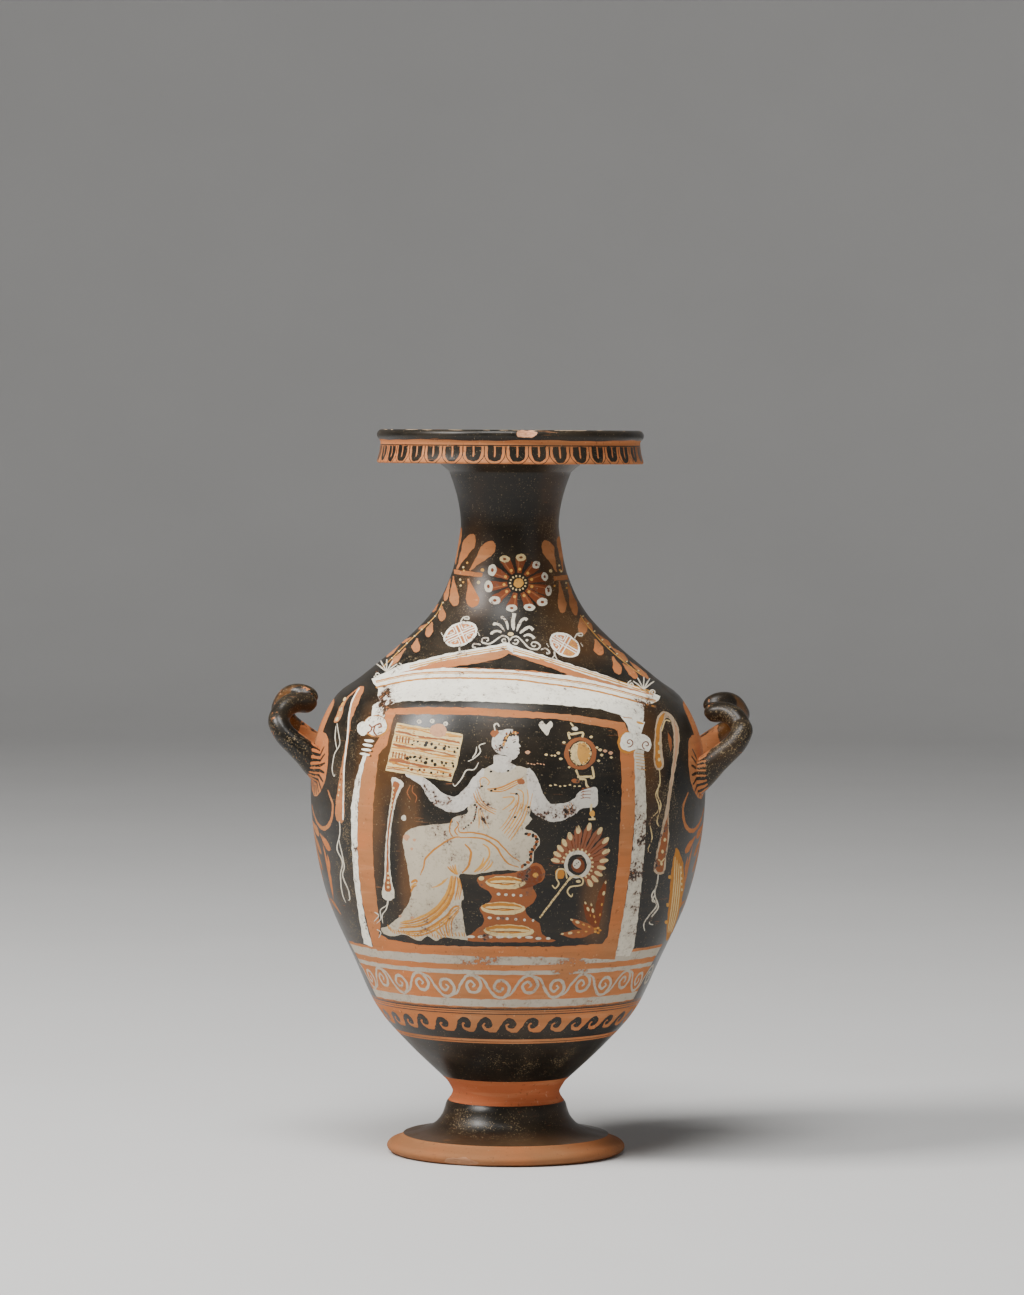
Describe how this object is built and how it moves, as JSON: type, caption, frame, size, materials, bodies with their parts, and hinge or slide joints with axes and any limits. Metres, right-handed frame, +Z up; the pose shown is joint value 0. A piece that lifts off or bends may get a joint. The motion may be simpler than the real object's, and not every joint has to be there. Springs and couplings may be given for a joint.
{
  "type": "hydria",
  "caption": "Three-handled red-figure water jar of black-glazed terracotta, with a seated figure in a columned shrine on the front",
  "frame": {"origin": "on the floor, under the middle of the foot", "axes": "+Z up the jar's axis, -Y towards the painted front, +X through the right side handle as seen from the front"},
  "size_m": [0.3108, 0.2512, 0.46],
  "materials": {
    "painted_terracotta": "satin black slip over orange fired clay, with red-figure, white and ochre painting, worn and dusty"
  },
  "bodies": {
    "root": {"hydria": "painted_terracotta"}
  },
  "joints": []
}
